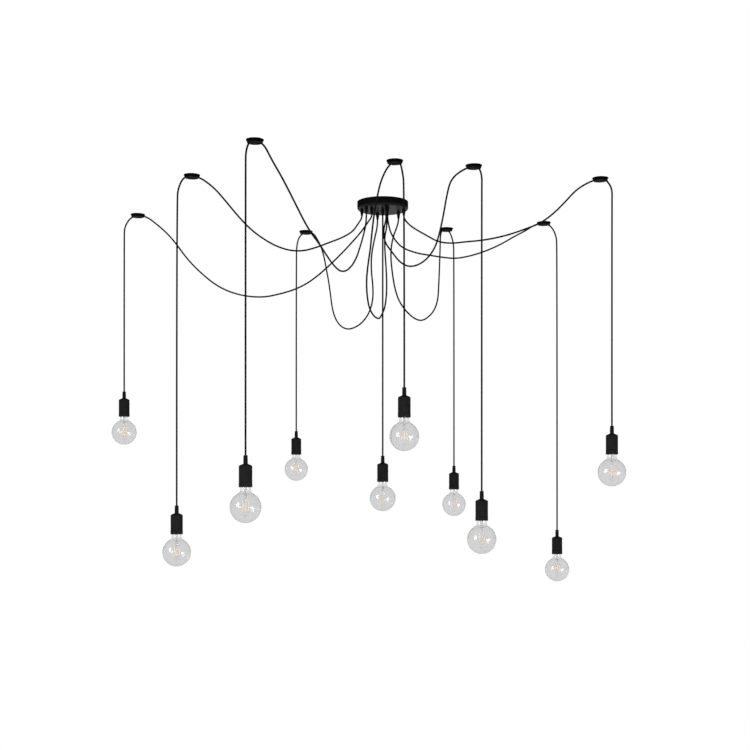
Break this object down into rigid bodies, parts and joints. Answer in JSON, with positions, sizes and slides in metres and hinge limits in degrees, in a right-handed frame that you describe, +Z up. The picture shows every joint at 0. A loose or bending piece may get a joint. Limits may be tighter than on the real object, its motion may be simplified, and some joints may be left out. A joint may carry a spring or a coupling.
{
  "type": "pendant light",
  "caption": "Swagged spider pendant: a round ceiling canopy feeds textile cords to separate ceiling hooks and down to lampholders with clear globe filament bulbs.",
  "frame": {"origin": "centre of the canopy and of its bracket's slots, on the ceiling plane", "axes": "+Z up into the ceiling; +X to the right and +Y away from the viewer who faces the light; everything hangs below z = 0"},
  "size_m": [1.8653, 1.5334, 1.422],
  "materials": {
    "canopy_black": "satin black powder coat on pressed steel",
    "zinc_steel": "zinc plated steel",
    "terminal_plastic": "moulded natural nylon",
    "contact_brass": "plain brass",
    "grip_black": "moulded black nylon",
    "lead_sheath": "black sheathed leads",
    "hook_black": "moulded black plastic, satin",
    "screw_black": "blackened steel",
    "cord_textile": "black braided textile over a round three core flex",
    "holder_black": "moulded black phenolic, satin",
    "socket_insert": "glazed insulating insert with a brass screw shell",
    "clear_glass": "clear blown glass globe with filament sticks"
  },
  "bodies": {
    "ceiling_mount": {"canopy_cover": "canopy_black", "ceiling_bracket": "zinc_steel", "canopy_screws": "zinc_steel", "terminal_block": "terminal_plastic", "terminal_contacts": "contact_brass", "cord_grips": "grip_black", "cord_grip_nuts": "contact_brass", "inner_leads": "lead_sheath", "hook_bases": "hook_black", "hook_caps": "hook_black", "hook_screws": "screw_black", "swag_cord_01": "cord_textile", "swag_cord_02": "cord_textile", "swag_cord_03": "cord_textile", "swag_cord_04": "cord_textile", "swag_cord_06": "cord_textile", "swag_cord_07": "cord_textile", "swag_cord_08": "cord_textile", "swag_cord_09": "cord_textile", "swag_cord_10": "cord_textile"},
    "pendant_01": {"drop_cord_01": "cord_textile", "lampholder_01": "holder_black", "socket_01": "socket_insert"},
    "lamp_01": {"bulb_01": "clear_glass"},
    "pendant_02": {"drop_cord_02": "cord_textile", "lampholder_02": "holder_black", "socket_02": "socket_insert"},
    "lamp_02": {"bulb_02": "clear_glass"},
    "pendant_03": {"drop_cord_03": "cord_textile", "lampholder_03": "holder_black", "socket_03": "socket_insert"},
    "lamp_03": {"bulb_03": "clear_glass"},
    "pendant_04": {"drop_cord_04": "cord_textile", "lampholder_04": "holder_black", "socket_04": "socket_insert"},
    "lamp_04": {"bulb_04": "clear_glass"},
    "pendant_05": {"drop_cord_05": "cord_textile", "lampholder_05": "holder_black", "socket_05": "socket_insert"},
    "lamp_05": {"bulb_05": "clear_glass"},
    "pendant_06": {"drop_cord_06": "cord_textile", "lampholder_06": "holder_black", "socket_06": "socket_insert"},
    "lamp_06": {"bulb_06": "clear_glass"},
    "pendant_07": {"drop_cord_07": "cord_textile", "lampholder_07": "holder_black", "socket_07": "socket_insert"},
    "lamp_07": {"bulb_07": "clear_glass"},
    "pendant_08": {"drop_cord_08": "cord_textile", "lampholder_08": "holder_black", "socket_08": "socket_insert"},
    "lamp_08": {"bulb_08": "clear_glass"},
    "pendant_09": {"drop_cord_09": "cord_textile", "lampholder_09": "holder_black", "socket_09": "socket_insert"},
    "lamp_09": {"bulb_09": "clear_glass"},
    "pendant_10": {"drop_cord_10": "cord_textile", "lampholder_10": "holder_black", "socket_10": "socket_insert"},
    "lamp_10": {"bulb_10": "clear_glass"}
  },
  "joints": [
    {"name": "swing_01", "type": "hinge", "parent": "ceiling_mount", "child": "pendant_01", "pos_m": [-0.9965, 0.215, -0.08], "axis": [-0.199, -0.98, 0], "range_deg": [-10, 10]},
    {"name": "bulb_turn_01", "type": "hinge", "parent": "pendant_01", "child": "lamp_01", "pos_m": [-0.9965, 0.215, -0.8383], "axis": [0, 0, 1], "continuous": true},
    {"name": "swing_02", "type": "hinge", "parent": "ceiling_mount", "child": "pendant_02", "pos_m": [-0.6948, -0.4334, -0.08], "axis": [0.65, -0.76, 0], "range_deg": [-10, 10]},
    {"name": "bulb_turn_02", "type": "hinge", "parent": "pendant_02", "child": "lamp_02", "pos_m": [-0.6948, -0.4334, -1.2779], "axis": [0, 0, 1], "continuous": true},
    {"name": "swing_03", "type": "hinge", "parent": "ceiling_mount", "child": "pendant_03", "pos_m": [-0.4191, -0.8776, -0.08], "axis": [0.9295, -0.3688, 0], "range_deg": [-10, 10]},
    {"name": "bulb_turn_03", "type": "hinge", "parent": "pendant_03", "child": "lamp_03", "pos_m": [-0.4191, -0.8776, -1.1261], "axis": [0, 0, 1], "continuous": true},
    {"name": "swing_04", "type": "hinge", "parent": "ceiling_mount", "child": "pendant_04", "pos_m": [-0.3535, 0.5608, -0.08], "axis": [-0.7623, -0.6472, 0], "range_deg": [-10, 10]},
    {"name": "bulb_turn_04", "type": "hinge", "parent": "pendant_04", "child": "lamp_04", "pos_m": [-0.3535, 0.5608, -0.9715], "axis": [0, 0, 1], "continuous": true},
    {"name": "swing_05", "type": "hinge", "parent": "ceiling_mount", "child": "pendant_05", "pos_m": [0, 0, -0.0505], "axis": [1, 0, 0], "range_deg": [-10, 10]},
    {"name": "bulb_turn_05", "type": "hinge", "parent": "pendant_05", "child": "lamp_05", "pos_m": [0, 0, -1.0941], "axis": [0, 0, 1], "continuous": true},
    {"name": "swing_06", "type": "hinge", "parent": "ceiling_mount", "child": "pendant_06", "pos_m": [0.0655, -0.6324, -0.08], "axis": [0.8359, 0.5489, 0], "range_deg": [-10, 10]},
    {"name": "bulb_turn_06", "type": "hinge", "parent": "pendant_06", "child": "lamp_06", "pos_m": [0.0655, -0.6324, -0.8987], "axis": [0, 0, 1], "continuous": true},
    {"name": "swing_07", "type": "hinge", "parent": "ceiling_mount", "child": "pendant_07", "pos_m": [0.2939, 0.5082, -0.08], "axis": [-0.8359, 0.5489, 0], "range_deg": [-10, 10]},
    {"name": "bulb_turn_07", "type": "hinge", "parent": "pendant_07", "child": "lamp_07", "pos_m": [0.2939, 0.5082, -1.1159], "axis": [0, 0, 1], "continuous": true},
    {"name": "swing_08", "type": "hinge", "parent": "ceiling_mount", "child": "pendant_08", "pos_m": [0.3189, -0.5716, -0.08], "axis": [0.9205, 0.3908, 0], "range_deg": [-10, 10]},
    {"name": "bulb_turn_08", "type": "hinge", "parent": "pendant_08", "child": "lamp_08", "pos_m": [0.3189, -0.5716, -1.2307], "axis": [0, 0, 1], "continuous": true},
    {"name": "swing_09", "type": "hinge", "parent": "ceiling_mount", "child": "pendant_09", "pos_m": [0.6952, 0.3664, -0.08], "axis": [-0.3721, 0.9282, 0], "range_deg": [-10, 10]},
    {"name": "bulb_turn_09", "type": "hinge", "parent": "pendant_09", "child": "lamp_09", "pos_m": [0.6952, 0.3664, -1.3745], "axis": [0, 0, 1], "continuous": true},
    {"name": "swing_10", "type": "hinge", "parent": "ceiling_mount", "child": "pendant_10", "pos_m": [0.7738, -0.4001, -0.08], "axis": [0.8279, 0.5609, 0], "range_deg": [-10, 10]},
    {"name": "bulb_turn_10", "type": "hinge", "parent": "pendant_10", "child": "lamp_10", "pos_m": [0.7738, -0.4001, -1.0083], "axis": [0, 0, 1], "continuous": true}
  ]
}
